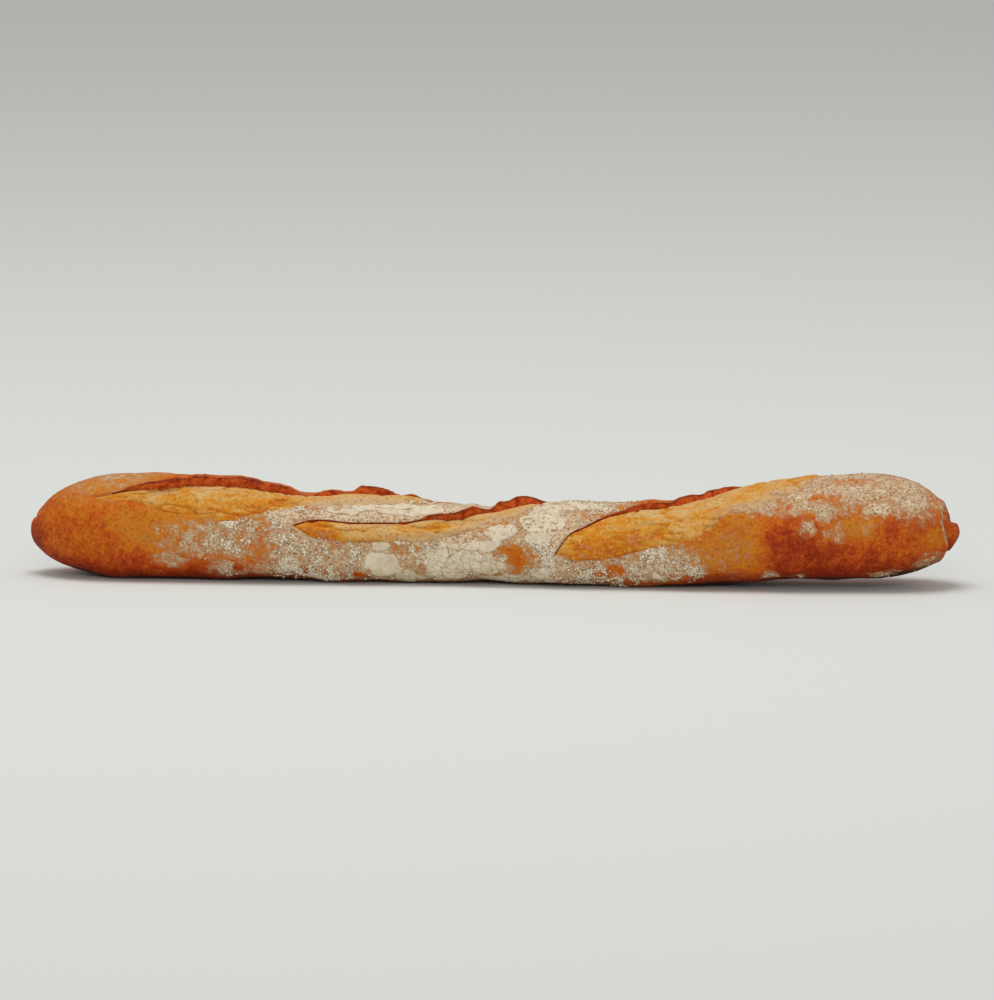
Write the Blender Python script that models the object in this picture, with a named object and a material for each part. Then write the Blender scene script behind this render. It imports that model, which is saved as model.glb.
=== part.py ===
"""A baguette as one solid loaf.

Metres, +Z up. +X runs along the loaf, -Y is the side that the cuts open towards, and the
origin is the middle of the loaf's outline on the surface that it rests on.

The body is a row of rounded cross-sections along a slightly bowed line. Three slanting
cuts are then raised from it: behind each cut stands the ear, a torn lip of crust, and in
front of it swells the opened dough.
"""
import math
from dataclasses import dataclass

import bpy
import numpy as np

# Driving dimensions.
LENGTH = 0.580                # tip to tip
LEFT_TAPER = 0.062            # length over which the left end rounds off
RIGHT_TAPER = 0.050           # the same at the right end
RESTING_PRESS = 0.0010        # how far the underside is flattened by the baking surface
CROWN_POWER = 2.1             # roundness of the upper half, 2 being an ellipse
BELLY_POWER = 2.4             # roundness of the lower half, squarer than the upper
SECTIONS = 98                 # cross-sections along the loaf
AROUND = 40                   # corners of one cross-section

# Taper powers: how bluntly each end closes, above and below its tip, and seen from above.
LEFT_POWERS = {"crown": 0.50, "belly": 0.42, "side": 0.50}
RIGHT_POWERS = {"crown": 0.65, "belly": 0.60, "side": 0.50}

# The loaf's changing girth, from the left end to the right one:
# place along the loaf, height of the widest line, crown above that line, belly below it,
# half width, and sideways bow.
GIRTH = np.array([
    (-0.290, 0.0275, 0.0365, 0.0275, 0.0345, 0.004),
    (-0.228, 0.0270, 0.0370, 0.0270, 0.0350, 0.002),
    (-0.190, 0.0265, 0.0358, 0.0265, 0.0352, 0.001),
    (-0.150, 0.0255, 0.0330, 0.0255, 0.0345, 0.000),
    (-0.115, 0.0240, 0.0305, 0.0240, 0.0330, 0.000),
    (-0.078, 0.0230, 0.0295, 0.0230, 0.0325, 0.000),
    (-0.040, 0.0215, 0.0275, 0.0215, 0.0320, 0.001),
    (-0.010, 0.0205, 0.0250, 0.0205, 0.0315, 0.001),
    (0.020, 0.0210, 0.0275, 0.0210, 0.0320, 0.000),
    (0.050, 0.0215, 0.0283, 0.0215, 0.0325, -0.001),
    (0.090, 0.0220, 0.0280, 0.0220, 0.0330, -0.002),
    (0.125, 0.0238, 0.0280, 0.0230, 0.0340, -0.002),
    (0.150, 0.0268, 0.0325, 0.0245, 0.0350, -0.001),
    (0.180, 0.0300, 0.0355, 0.0255, 0.0358, 0.000),
    (0.215, 0.0330, 0.0362, 0.0265, 0.0355, 0.001),
    (0.240, 0.0335, 0.0355, 0.0265, 0.0350, 0.002),
    (0.290, 0.0340, 0.0360, 0.0260, 0.0345, 0.004),
])


@dataclass
class Cut:
    """One slash: lines given as (place along the loaf, value) pairs.

    Angles run round a section in degrees: 0 at the front, 90 on top, 180 at the back.
    """
    ear_line: tuple           # angle of the ear's foot
    lower_line: tuple         # angle where the opened dough meets the old skin
    ear_height: tuple         # height of the ear above the skin
    swell: float              # how far the opened dough stands out


CUTS = (
    Cut(ear_line=((-0.250, 46), (-0.220, 51), (-0.186, 67), (-0.145, 74), (-0.113, 76),
                  (-0.093, 85), (-0.069, 95), (-0.040, 100)),
        lower_line=((-0.250, 36), (-0.220, 38), (-0.188, 28), (-0.146, 34), (-0.105, 55),
                    (-0.058, 74), (-0.040, 90)),
        ear_height=((-0.235, 0.000), (-0.200, 0.005), (-0.170, 0.006), (-0.140, 0.005),
                    (-0.118, 0.001), (-0.078, 0.005), (-0.055, 0.002), (-0.040, 0.000)),
        swell=0.0018),
    Cut(ear_line=((-0.124, 22), (-0.112, 31), (-0.084, 34), (-0.053, 39), (-0.020, 56),
                  (-0.005, 71), (0.0135, 80), (0.034, 100)),
        lower_line=((-0.124, 14), (-0.102, 9), (-0.073, 7), (-0.052, 16), (-0.027, 37),
                    (-0.008, 60), (0.034, 95)),
        ear_height=((-0.124, 0.000), (-0.085, 0.001), (-0.045, 0.002), (-0.016, 0.0045),
                    (-0.004, 0.002), (0.014, 0.006), (0.036, 0.000)),
        swell=0.0015),
    Cut(ear_line=((0.039, -5), (0.0445, 14), (0.050, 27), (0.0595, 39), (0.080, 62),
                  (0.105, 70), (0.120, 82), (0.142, 95), (0.165, 100), (0.202, 98)),
        lower_line=((0.039, -8), (0.059, -7), (0.0835, -1), (0.115, 12), (0.132, 19),
                    (0.145, 36), (0.168, 42), (0.190, 57), (0.202, 72)),
        ear_height=((0.040, 0.000), (0.060, 0.002), (0.099, 0.0045), (0.111, 0.002),
                    (0.124, 0.0045), (0.145, 0.004), (0.158, 0.000)),
        swell=0.0018),
)
EAR_BACK = 0.011              # width of the ear's slope behind its crest
EAR_FACE = 0.004              # width of the torn face in front of it
CREVICE = 0.0010              # depth of the groove at the ear's foot


def smooth_through(places, values, x):
    """Return the value at x on a smooth curve through the given points.

    Each span is a cubic whose end slopes are the slopes between the neighbouring points.
    """
    slopes = np.gradient(values, places)
    span = np.clip(np.searchsorted(places, x) - 1, 0, len(places) - 2)
    width = places[span + 1] - places[span]
    t = np.clip((x - places[span]) / width, 0.0, 1.0)
    return ((2 * t**3 - 3 * t**2 + 1) * values[span]
            + (t**3 - 2 * t**2 + t) * width * slopes[span]
            + (3 * t**2 - 2 * t**3) * values[span + 1]
            + (t**3 - t**2) * width * slopes[span + 1])


def taper(x, quality):
    """Return the factor by which a girth measure closes towards the tips.

    It is one along the body, and a power of (1 - t squared) over each end, t running from
    0 where the taper starts to 1 at the tip.
    """
    left = np.clip((-LENGTH / 2 + LEFT_TAPER - x) / LEFT_TAPER, 0.0, 1.0)
    right = np.clip((x - LENGTH / 2 + RIGHT_TAPER) / RIGHT_TAPER, 0.0, 1.0)
    return ((1 - left**2) ** LEFT_POWERS[quality]
            * (1 - right**2) ** RIGHT_POWERS[quality])


def girth(x):
    """Return widest height, crown, belly, half width and bow of the section at x."""
    columns = [smooth_through(GIRTH[:, 0], GIRTH[:, k], x) for k in range(1, 6)]
    widest, crown, belly, half_width, bow = columns
    belly = belly + RESTING_PRESS
    return (widest, crown * taper(x, "crown"), belly * taper(x, "belly"),
            half_width * taper(x, "side"), bow)


def line_value(line, x):
    """Return the value at x of a line given as (place, value) pairs."""
    places, values = np.array(line, dtype=float).T
    return smooth_through(places, values, x)


def cut_relief(cut, x, angle, mean_radius):
    """Return how far one cut raises the surface at places x and section angles.

    Across the cut, distance is measured from the ear's foot, positive towards the front.
    Behind it the ear falls off over EAR_BACK, in front it drops over EAR_FACE into a
    shallow groove, and the opened dough swells as half a sine wave out to the lower line.
    """
    first, last = cut.ear_line[0][0], cut.ear_line[-1][0]
    fade = np.clip((x - first) / 0.008, 0, 1) * np.clip((last - x) / 0.008, 0, 1)
    foot = line_value(cut.ear_line, x)
    distance = np.radians(foot - angle) * mean_radius
    width = np.maximum(np.radians(foot - line_value(cut.lower_line, x)) * mean_radius, 0.004)
    height = np.maximum(line_value(cut.ear_height, x), 0.0)
    behind = np.exp(-(np.minimum(distance, 0.0) / EAR_BACK) ** 2)
    before = np.exp(-(np.maximum(distance, 0.0) / EAR_FACE) ** 2)
    across = np.clip(distance / width, 0.0, 1.0)
    dough = cut.swell * np.sin(math.pi * across)
    groove = -CREVICE * np.exp(-((distance - EAR_FACE) / EAR_FACE) ** 2)
    return fade * (height * behind * before + dough + groove)


def lumps(x, angle):
    """Return the loaf's gentle unevenness: a few long waves along and around it."""
    turn = np.radians(angle)
    return (0.0006 * np.sin(43 * x + 2 * turn + 0.4)
            + 0.0005 * np.sin(97 * x - 3 * turn + 1.9)
            + 0.0003 * np.sin(171 * x + 5 * turn + 4.0))


def section_points():
    """Return the loaf's surface as an array of sections by corners by xyz."""
    u = (np.arange(SECTIONS) + 1) / (SECTIONS + 1)
    even = 2 * u - 1
    x = LENGTH / 2 * (0.62 * even + 0.38 * np.sin(math.pi / 2 * even))
    x = x[:, None]
    angle = (np.arange(AROUND) / AROUND * 360.0 - 90.0)[None, :]
    turn = np.radians(angle)
    widest, crown, belly, half_width, bow = girth(x)
    upper = np.sin(turn) >= 0
    power = np.where(upper, CROWN_POWER, BELLY_POWER)
    reach = np.where(upper, crown, belly)
    y = -half_width * np.sign(np.cos(turn)) * np.abs(np.cos(turn)) ** (2 / power)
    z = reach * np.sign(np.sin(turn)) * np.abs(np.sin(turn)) ** (2 / power)
    out_y, out_z = y / half_width**2, z / reach**2
    size = np.hypot(out_y, out_z)
    mean_radius = (half_width + crown) / 2
    end_fade = taper(x, "side")
    raised = lumps(x, angle) * end_fade
    for cut in CUTS:
        raised = raised + cut_relief(cut, x, angle, mean_radius)
    y = y + bow + raised * out_y / size
    z = np.maximum(widest + z + raised * out_z / size, 0.0)
    return np.stack([np.broadcast_to(x, y.shape), y, z], axis=-1)


def loaf_mesh():
    """Build the closed mesh: rings of quads, with a fan of triangles at each tip."""
    rings = section_points()
    tips = []
    for end in (-1, 1):
        x = np.array([end * LENGTH / 2])
        widest, _, _, _, bow = girth(x)
        tips.append((x[0], bow[0], widest[0]))
    points = np.vstack([rings.reshape(-1, 3), tips])
    points[:, :2] -= (points[:, :2].max(axis=0) + points[:, :2].min(axis=0)) / 2
    left_tip, right_tip = len(points) - 2, len(points) - 1
    last_ring = (SECTIONS - 1) * AROUND
    faces = []
    for j in range(AROUND):
        k = (j + 1) % AROUND
        faces.append((left_tip, j, k))
        faces.append((right_tip, last_ring + k, last_ring + j))
        for i in range(SECTIONS - 1):
            a, b = i * AROUND, (i + 1) * AROUND
            faces.append((a + j, b + j, b + k, a + k))
    mesh = bpy.data.meshes.new("loaf")
    mesh.from_pydata(points.tolist(), [], faces)
    mesh.validate()
    mesh.shade_smooth()
    return mesh


def crust_material():
    """Return the baked crust: golden brown and dull."""
    material = bpy.data.materials.new("crust")
    material.use_nodes = True
    shader = material.node_tree.nodes["Principled BSDF"]
    shader.inputs["Base Color"].default_value = (0.55, 0.22, 0.04, 1.0)
    shader.inputs["Roughness"].default_value = 0.6
    shader.inputs["Metallic"].default_value = 0.0
    return material


def build():
    """Clear the scene and make the loaf."""
    for old in list(bpy.data.objects):
        bpy.data.objects.remove(old)
    loaf = bpy.data.objects.new("loaf", loaf_mesh())
    loaf.data.materials.append(crust_material())
    bpy.context.scene.collection.objects.link(loaf)


build()
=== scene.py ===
"""Looks of a baguette: its baked skin, three torn openings with their ears, and its flour.

The loaf lies along X and rests on z = 0. Every surface is worked out over two parameters:
the place x along the loaf, in metres, and the angle round its section, in degrees, with 0
at the front (-Y), 90 on top and 180 at the back.
"""
import logging
import math
from dataclasses import dataclass
from enum import Enum

import bpy
import numpy as np
from numpy.typing import NDArray
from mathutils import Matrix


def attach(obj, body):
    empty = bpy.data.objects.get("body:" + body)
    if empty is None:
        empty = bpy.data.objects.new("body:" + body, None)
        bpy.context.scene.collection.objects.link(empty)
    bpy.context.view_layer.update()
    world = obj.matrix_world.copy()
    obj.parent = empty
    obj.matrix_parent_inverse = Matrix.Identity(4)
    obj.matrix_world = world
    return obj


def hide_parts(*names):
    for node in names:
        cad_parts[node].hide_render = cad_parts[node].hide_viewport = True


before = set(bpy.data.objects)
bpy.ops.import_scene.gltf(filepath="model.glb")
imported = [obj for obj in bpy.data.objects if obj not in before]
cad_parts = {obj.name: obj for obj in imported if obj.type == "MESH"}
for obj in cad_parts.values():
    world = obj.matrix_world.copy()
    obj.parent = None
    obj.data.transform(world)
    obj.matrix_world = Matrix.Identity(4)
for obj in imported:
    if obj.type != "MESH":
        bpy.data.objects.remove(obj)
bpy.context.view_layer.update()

Grid = NDArray[np.float64]
Line = tuple[tuple[float, float], ...]

MM = 0.001
MEAN_RADIUS = 0.031           # of the loaf's section, in metres
GRAIN_SEED = 7                # start of the random draws for the loose grains
TRIES_PER_GRAIN = 14          # places drawn for each grain that is wanted
NODE = "loaf"
BODY = "root"
log = logging.getLogger("baguette")


class Slot(Enum):
    """Material slots of the record; the pieces built here do not take their finish from them."""
    CRUST = "crust"


# --------------------------------------------------------------------------- numbers

def ramp(low: float, high: float, value: Grid) -> Grid:
    """Rise smoothly from 0 at low to 1 at high, as 3t squared less 2t cubed.

    Args:
        low: value where the rise starts.
        high: value where it ends; below low it falls instead.
        value: what is tested.

    Returns:
        The height of the rise, between 0 and 1.
    """
    t = np.clip((value - low) / (high - low), 0.0, 1.0)
    return t * t * (3 - 2 * t)


def bell(value: Grid, width: float | Grid) -> Grid:
    """Return the bell curve exp(-(value / width) squared)."""
    return np.exp(-(value / width) ** 2)


def through(line: NDArray, x: Grid) -> Grid:
    """Follow a smooth curve through points.

    Each span is a cubic whose end slopes are the slopes between the neighbouring points.

    Args:
        line: rows of (place, value).
        x: places to read it at.

    Returns:
        The curve's values.
    """
    places, values = np.asarray(line, dtype=float).T
    slopes = np.gradient(values, places)
    span = np.clip(np.searchsorted(places, x) - 1, 0, len(places) - 2)
    width = places[span + 1] - places[span]
    t = np.clip((x - places[span]) / width, 0.0, 1.0)
    return ((2 * t**3 - 3 * t**2 + 1) * values[span]
            + (t**3 - 2 * t**2 + t) * width * slopes[span]
            + (3 * t**2 - 2 * t**3) * values[span + 1]
            + (t**3 - t**2) * width * slopes[span + 1])


def scatter_hash(cell: NDArray, seed: int) -> Grid:
    """Turn whole-number lattice cells into even random numbers from 0 to 1.

    Each coordinate is multiplied by a large odd number, the products are mixed by shifts
    and exclusive-ors, and the low 24 bits are kept.

    Args:
        cell: whole numbers, the last axis being the coordinates.
        seed: which of many unlike patterns.

    Returns:
        One number for each cell.
    """
    primes = (374761393, 668265263, 2147483647)
    total = np.full(cell.shape[:-1], seed * 1013904223, dtype=np.int64)
    for k in range(cell.shape[-1]):
        total = total + cell[..., k].astype(np.int64) * primes[k]
    total = (total ^ (total >> 13)) * 1274126177
    total = total ^ (total >> 16)
    return (total & 0xFFFFFF) / float(0xFFFFFF)


def value_noise(points: Grid, seed: int) -> Grid:
    """Soft random bumps one unit wide.

    The eight corners of each lattice cell hold hashed values, blended by a smooth cubic
    weight along each axis.

    Args:
        points: places, xyz on the last axis, in units of one bump.
        seed: which pattern.

    Returns:
        Values from -1 to 1.
    """
    base = np.floor(points)
    part = points - base
    weight = part * part * (3 - 2 * part)
    base = base.astype(np.int64)
    total = np.zeros(points.shape[:-1])
    for corner in range(8):
        step = np.array([corner & 1, (corner >> 1) & 1, (corner >> 2) & 1])
        share = np.prod(np.where(step == 1, weight, 1 - weight), axis=-1)
        total += share * scatter_hash(base + step, seed)
    return 2 * total - 1


def layered(points: Grid, size: float, layers: int, seed: int) -> Grid:
    """Add up value noise of halving size and halving strength.

    Args:
        points: places in metres.
        size: width of the largest bumps, in metres.
        layers: how many sizes.
        seed: which pattern.

    Returns:
        Values from about -1 to 1.
    """
    total = np.zeros(points.shape[:-1])
    for k in range(layers):
        total += 0.5**k * value_noise(points / size * 2**k + 17.3 * k, seed + k)
    return total / (2 - 0.5 ** (layers - 1))


def paving(points: Grid, size: float, seed: int) -> tuple[Grid, Grid]:
    """Divide a surface into irregular paving cells.

    Each square of a lattice holds one scattered centre. The two nearest centres to a
    point are found among the nine squares round it; where their distances are equal, the
    point is on a crack.

    Args:
        points: places on the surface, two coordinates on the last axis, in metres.
        size: mean width of a cell, in metres.
        seed: which pattern.

    Returns:
        Distance to the nearest crack, in metres, and a random number for each cell.
    """
    scaled = points / size
    base = np.floor(scaled).astype(np.int64)
    nearest = np.full(points.shape[:-1], 9.0)
    second = nearest.copy()
    name = np.zeros(points.shape[:-1])
    for i in (-1, 0, 1):
        for j in (-1, 0, 1):
            cell = base + np.array([i, j])
            centre = cell + np.stack([scatter_hash(cell, seed), scatter_hash(cell, seed + 1)], -1)
            away = np.linalg.norm(scaled - centre, axis=-1)
            closer = away < nearest
            second = np.where(closer, nearest, np.minimum(second, away))
            name = np.where(closer, scatter_hash(cell, seed + 2), name)
            nearest = np.where(closer, away, nearest)
    return (second - nearest) * 0.5 * size, name


# --------------------------------------------------------------------------- meshes

def make_piece(name: str, points: Grid, faces: list[list[int]], values: dict[str, Grid],
               material: bpy.types.Material) -> bpy.types.Object:
    """Put points and faces into a new mesh object at the origin.

    Args:
        name: the piece's name.
        points: vertices, one row each.
        faces: vertex numbers, one row for each face.
        values: numbers for each vertex, kept as attributes that the material reads.
        material: the piece's finish.

    Returns:
        The object, smooth shaded and linked to the scene.
    """
    mesh = bpy.data.meshes.new(name)
    mesh.from_pydata(points.reshape(-1, 3), [], faces)
    for key, numbers in values.items():
        attribute = mesh.attributes.new(key, "FLOAT", "POINT")
        attribute.data.foreach_set("value", np.ascontiguousarray(numbers, dtype=np.float32).ravel())
    mesh.materials.append(material)
    mesh.shade_smooth()
    piece = bpy.data.objects.new(name, mesh)
    bpy.context.scene.collection.objects.link(piece)
    return piece


def sheet_faces(rows: int, columns: int, wrap: bool) -> NDArray:
    """List the quads of a grid whose faces point along rows cross columns.

    Args:
        rows: points along the first parameter.
        columns: points along the second.
        wrap: whether the second parameter closes on itself.

    Returns:
        Four vertex numbers for each quad.
    """
    i = np.arange(rows - 1)[:, None]
    j = np.arange(columns if wrap else columns - 1)[None, :]
    k = (j + 1) % columns
    quads = np.stack([i * columns + j, (i + 1) * columns + j,
                      (i + 1) * columns + k, i * columns + k], axis=-1)
    return quads.reshape(-1, 4)


def closed_tube(name: str, rings: Grid, ends: tuple[Grid, Grid], values: dict[str, Grid],
                material: bpy.types.Material) -> bpy.types.Object:
    """Make a closed piece from rings of points, with a fan at each end point.

    A texture layout is added: the first half of the rings fills the lower half of the
    picture and the second half the upper, each strip running the picture's full width.

    Args:
        name: the piece's name.
        rings: points as rings by places round the ring by xyz.
        ends: the two end points.
        values: attributes, as rings by places; the end points take their ring's mean.
        material: the piece's finish.

    Returns:
        The object.
    """
    count, around = rings.shape[:2]
    quads = sheet_faces(count, around, wrap=True)
    first, last = count * around, count * around + 1
    j = np.arange(around)
    k = (j + 1) % around
    top = (count - 1) * around
    fans = np.concatenate([
        np.stack([np.full(around, first), j, k], axis=-1),
        np.stack([np.full(around, last), top + k, top + j], axis=-1)])
    points = np.vstack([rings.reshape(-1, 3), ends[0], ends[1]])
    full = {key: np.append(numbers.ravel(), [numbers[0].mean(), numbers[-1].mean()])
            for key, numbers in values.items()}
    piece = make_piece(name, points, quads.tolist() + fans.tolist(), full, material)
    lay_strips(piece.data, count, around)
    return piece


def lay_strips(mesh: bpy.types.Mesh, count: int, around: int) -> None:
    """Lay the faces of a closed tube out as two strips, one above the other.

    Args:
        mesh: a mesh made by closed_tube.
        count: rings.
        around: places round a ring.
    """
    half = count // 2
    i = np.repeat(np.arange(count - 1), around)
    j = np.tile(np.arange(around), count - 1)
    upper = i >= half
    start = np.where(upper, half, 0)
    length = np.where(upper, count - 1 - half, half)
    margin = 0.03
    ring = np.stack([i, i + 1, i + 1, i], axis=-1)
    turn = np.stack([j, j, j + 1, j + 1], axis=-1)
    u = margin + (1 - 2 * margin) * (ring - start[:, None]) / length[:, None]
    v = turn / around * 0.49 + np.where(upper, 0.505, 0.005)[:, None]
    quad_uv = np.stack([u, v], axis=-1).reshape(-1, 2)
    n = np.arange(around)
    fan_v = n / around * 0.49
    step = 0.49 / around
    left = np.stack([
        np.stack([np.full(around, 0.004), fan_v + 0.005 + step / 2], -1),
        np.stack([np.full(around, margin), fan_v + 0.005], -1),
        np.stack([np.full(around, margin), fan_v + 0.005 + step], -1)], axis=1)
    right = np.stack([
        np.stack([np.full(around, 0.996), fan_v + 0.505 + step / 2], -1),
        np.stack([np.full(around, 1 - margin), fan_v + 0.505 + step], -1),
        np.stack([np.full(around, 1 - margin), fan_v + 0.505], -1)], axis=1)
    layer = mesh.uv_layers.new(name="OFBake")
    both = np.concatenate([quad_uv, left.reshape(-1, 2), right.reshape(-1, 2)])
    layer.uv.foreach_set("vector", both.astype(np.float32).ravel())


# --------------------------------------------------------------------------- the loaf's form

@dataclass(frozen=True)
class LoafForm:
    """The loaf before it is slashed: rounded sections along a slightly bowed line.

    girth rows hold the place along the loaf, the height of the widest line, the crown
    above it, the belly below it, the half width and the sideways bow.
    """
    length: float = 0.580
    left_taper: float = 0.062
    right_taper: float = 0.050
    resting_press: float = 0.0010
    crown_power: float = 2.1
    belly_power: float = 2.4
    left_powers: tuple[float, float, float] = (0.50, 0.42, 0.50)
    right_powers: tuple[float, float, float] = (0.65, 0.60, 0.50)
    girth: tuple[tuple[float, ...], ...] = (
        (-0.290, 0.0275, 0.0365, 0.0275, 0.0345, 0.004),
        (-0.228, 0.0270, 0.0370, 0.0270, 0.0350, 0.002),
        (-0.190, 0.0265, 0.0358, 0.0265, 0.0352, 0.001),
        (-0.150, 0.0255, 0.0330, 0.0255, 0.0345, 0.000),
        (-0.115, 0.0240, 0.0305, 0.0240, 0.0330, 0.000),
        (-0.078, 0.0230, 0.0295, 0.0230, 0.0325, 0.000),
        (-0.040, 0.0215, 0.0275, 0.0215, 0.0320, 0.001),
        (-0.010, 0.0205, 0.0250, 0.0205, 0.0315, 0.001),
        (0.020, 0.0210, 0.0275, 0.0210, 0.0320, 0.000),
        (0.050, 0.0215, 0.0283, 0.0215, 0.0325, -0.001),
        (0.090, 0.0220, 0.0280, 0.0220, 0.0330, -0.002),
        (0.125, 0.0238, 0.0280, 0.0230, 0.0340, -0.002),
        (0.150, 0.0268, 0.0325, 0.0245, 0.0350, -0.001),
        (0.180, 0.0300, 0.0355, 0.0255, 0.0358, 0.000),
        (0.215, 0.0330, 0.0362, 0.0265, 0.0355, 0.001),
        (0.240, 0.0335, 0.0355, 0.0265, 0.0350, 0.002),
        (0.290, 0.0340, 0.0360, 0.0260, 0.0345, 0.004),
    )

    def taper(self, x: Grid, kind: int) -> Grid:
        """Return how far a measure has closed: powers of (1 - t squared) over each end.

        Args:
            x: places along the loaf.
            kind: 0 for the crown, 1 for the belly, 2 for the half width.
        """
        left = np.clip((-self.length / 2 + self.left_taper - x) / self.left_taper, 0, 1)
        right = np.clip((x - self.length / 2 + self.right_taper) / self.right_taper, 0, 1)
        return (1 - left**2) ** self.left_powers[kind] * (1 - right**2) ** self.right_powers[kind]

    def measures(self, x: Grid) -> tuple[Grid, Grid, Grid, Grid, Grid]:
        """Return widest height, crown, belly, half width and bow of the sections at x."""
        table = np.array(self.girth)
        widest, crown, belly, half_width, bow = (
            through(table[:, (0, k)], x) for k in range(1, 6))
        belly = belly + self.resting_press
        return (widest, crown * self.taper(x, 0), belly * self.taper(x, 1),
                half_width * self.taper(x, 2), bow)

    def radius(self, x: Grid) -> Grid:
        """Return the mean of half width and crown, which turns angles into distances."""
        _, crown, _, half_width, _ = self.measures(x)
        return (crown + half_width) / 2

    def skin(self, x: Grid, angle: Grid) -> Grid:
        """Place points on the smooth, uncut loaf.

        A section is a rounded outline, |y|^p + |z|^p = 1 in units of its half width and of
        its crown or belly, raised by three long waves.

        Args:
            x: places along the loaf.
            angle: angles round the section.

        Returns:
            Points, xyz on the last axis.
        """
        x, angle = np.broadcast_arrays(x, angle)
        turn = np.radians(angle)
        widest, crown, belly, half_width, bow = self.measures(x)
        upper = np.sin(turn) >= 0
        power = np.where(upper, self.crown_power, self.belly_power)
        reach = np.maximum(np.where(upper, crown, belly), 1e-6)
        half_width = np.maximum(half_width, 1e-6)
        y = -half_width * np.sign(np.cos(turn)) * np.abs(np.cos(turn)) ** (2 / power)
        z = reach * np.sign(np.sin(turn)) * np.abs(np.sin(turn)) ** (2 / power)
        out_y, out_z = y / half_width**2, z / reach**2
        size = np.maximum(np.hypot(out_y, out_z), 1e-9)
        waves = self.taper(x, 2) * (0.0006 * np.sin(43 * x + 2 * turn + 0.4)
                                    + 0.0005 * np.sin(97 * x - 3 * turn + 1.9)
                                    + 0.0003 * np.sin(171 * x + 5 * turn + 4.0))
        return np.stack([x, y + bow + waves * out_y / size,
                         widest + z + waves * out_z / size], axis=-1)

    def fold(self, x: Grid, angle: Grid, points: Grid) -> tuple[Grid, Grid]:
        """Return the distance from the loaf's line, and the radius of the fold at its end."""
        widest, _, _, _, bow = self.measures(x)
        turn = np.radians(angle)
        off = np.hypot(points[..., 1] - bow, points[..., 2] - widest)
        return off, (15.5 + 2.5 * np.sin(turn + 0.5) + 1.2 * np.sin(3 * turn)) * MM

    def facing(self, x: Grid, angle: Grid) -> Grid:
        """Return the outward direction at points of the smooth loaf.

        It is the cross product of the surface's slopes along x and round the section,
        each taken between two points half a millimetre or half a degree to either side.
        """
        along = self.skin(x + 0.5 * MM, angle) - self.skin(x - 0.5 * MM, angle)
        around = self.skin(x, angle + 0.5) - self.skin(x, angle - 0.5)
        out = np.cross(along, around)
        return out / np.maximum(np.linalg.norm(out, axis=-1, keepdims=True), 1e-12)


@dataclass(frozen=True)
class Slash:
    """One slanting cut. Its lines are (place along the loaf, value) pairs.

    ear_line is the angle of the ear's foot, lower_line the angle where the opened dough
    meets the old skin, ear_height how far the ear stands above the skin, and tone how
    deeply the dough is baked, from 0 for cream to 1 for brown; deepening is what it gains
    on the way to the lower line. The ear's torn face is closed over beyond torn_until.
    floury is how much flour lies on the dough by its lower line.
    """
    name: str
    ear_line: Line
    lower_line: Line
    ear_height: Line
    tone: Line
    deepening: float
    torn_until: float
    floury: Line
    swell: float
    rim: float

    @property
    def ends(self) -> tuple[float, float]:
        """Return the places where the cut starts and stops."""
        return self.ear_line[0][0], self.ear_line[-1][0]

    def closing(self, x: Grid) -> Grid:
        """Return how open the cut is: it rounds shut like a square root over 14 mm."""
        first, last = self.ends
        reach = 14 * MM
        return np.sqrt(np.clip((x - first) / reach, 0, 1) * np.clip((last - x) / reach, 0, 1))

    def foot(self, x: Grid) -> Grid:
        """Return the angle of the ear's foot."""
        return through(self.ear_line, x)

    def lower(self, x: Grid) -> Grid:
        """Return the angle of the lower edge, drawn up to the foot where the cut closes."""
        foot = self.foot(x)
        return foot - (foot - through(self.lower_line, x)) * self.closing(x)

    def height(self, x: Grid) -> Grid:
        """Return the ear's height above the skin."""
        return np.maximum(through(self.ear_height, x), 0.0)

    def distance(self, form: LoafForm, x: Grid, angle: Grid) -> tuple[Grid, Grid]:
        """Return the distance in front of the ear's foot, and the opening's width."""
        radius = form.radius(x)
        foot = self.foot(x)
        return (np.radians(foot - angle) * radius,
                np.radians(foot - self.lower(x)) * radius)


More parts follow.
